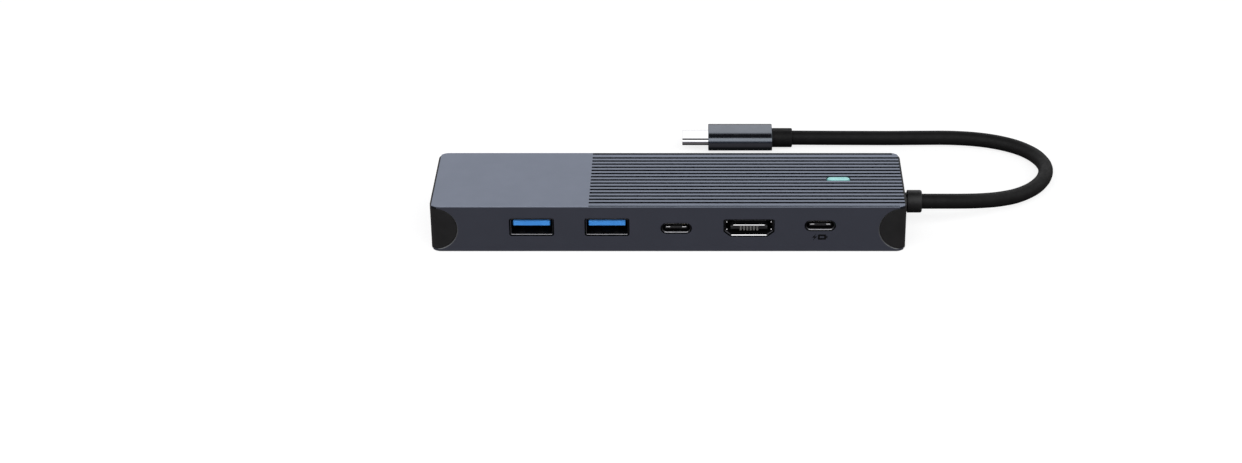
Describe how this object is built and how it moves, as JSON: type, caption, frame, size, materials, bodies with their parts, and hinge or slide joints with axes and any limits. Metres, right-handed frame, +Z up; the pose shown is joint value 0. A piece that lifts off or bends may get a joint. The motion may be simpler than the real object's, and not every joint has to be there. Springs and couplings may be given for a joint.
{
  "type": "laptop docking station",
  "caption": "Slim metal-bodied laptop docking station with front sockets, a grooved top, black end caps, a status light and a short captive plug-in lead.",
  "frame": {"origin": "centre of the dock's flat underside, without its lead", "axes": "+X along the body towards the end where the lead comes out, +Y to the back, +Z up; the sockets face -Y"},
  "size_m": [0.1947, 0.079, 0.0152],
  "materials": {
    "anodised_aluminium": "fine matt anodised, space grey",
    "cap_plastic": "black moulded plastic with a fine spark-eroded texture",
    "lead_jacket": "black satin thermoplastic rubber",
    "bright_steel": "bright nickel plated",
    "dark_steel": "black nickel plated",
    "blue_plastic": "blue moulded plastic",
    "black_insulator": "black moulded plastic",
    "carrier_plastic": "dark grey moulded plastic",
    "board_laminate": "green solder mask over glass laminate",
    "chip_resin": "black moulded resin",
    "ferrite": "dark sintered ferrite",
    "tinned_steel": "tin plated",
    "thermal_silicone": "soft grey-blue silicone",
    "light_plastic": "clear frosted plastic, lit pale cyan",
    "led_resin": "clear resin over a phosphor",
    "brass": "plain",
    "wire_red": "red insulation",
    "wire_black": "black insulation",
    "wire_green": "green insulation",
    "wire_white": "white insulation"
  },
  "bodies": {
    "root": {"housing": "anodised_aluminium", "end_cap_left": "cap_plastic", "end_cap_right": "cap_plastic", "usb_a_shell_1": "bright_steel", "usb_a_shell_2": "bright_steel", "usb_a_insulator_1": "blue_plastic", "usb_a_insulator_2": "blue_plastic", "usb_c_shell_1": "dark_steel", "usb_c_shell_2": "dark_steel", "usb_c_insulator_1": "black_insulator", "usb_c_insulator_2": "black_insulator", "usb_c_riser_1": "carrier_plastic", "usb_c_riser_2": "carrier_plastic", "hdmi_shell": "dark_steel", "hdmi_insulator": "black_insulator", "light_pipe": "light_plastic", "status_led": "led_resin", "main_board": "board_laminate", "board_carrier": "carrier_plastic", "thermal_pad": "thermal_silicone", "hub_controller_chip": "chip_resin", "video_converter_chip": "chip_resin", "power_delivery_chip": "chip_resin", "flash_memory_chip": "chip_resin", "clock_crystal": "tinned_steel", "shield_can": "tinned_steel", "power_inductor_1": "ferrite", "power_inductor_2": "ferrite", "bulk_capacitor_1": "tinned_steel", "bulk_capacitor_2": "tinned_steel", "cable_strain_relief": "lead_jacket", "cable_clamp": "brass", "cable": "lead_jacket", "lead_wire_power": "wire_red", "lead_wire_ground": "wire_black", "lead_wire_data": "wire_green", "lead_wire_video": "wire_white", "plug_boot": "lead_jacket", "plug_shell": "anodised_aluminium", "plug_core": "black_insulator", "plug_nose": "bright_steel", "plug_insert": "black_insulator", "plug_board": "board_laminate"}
  },
  "joints": []
}
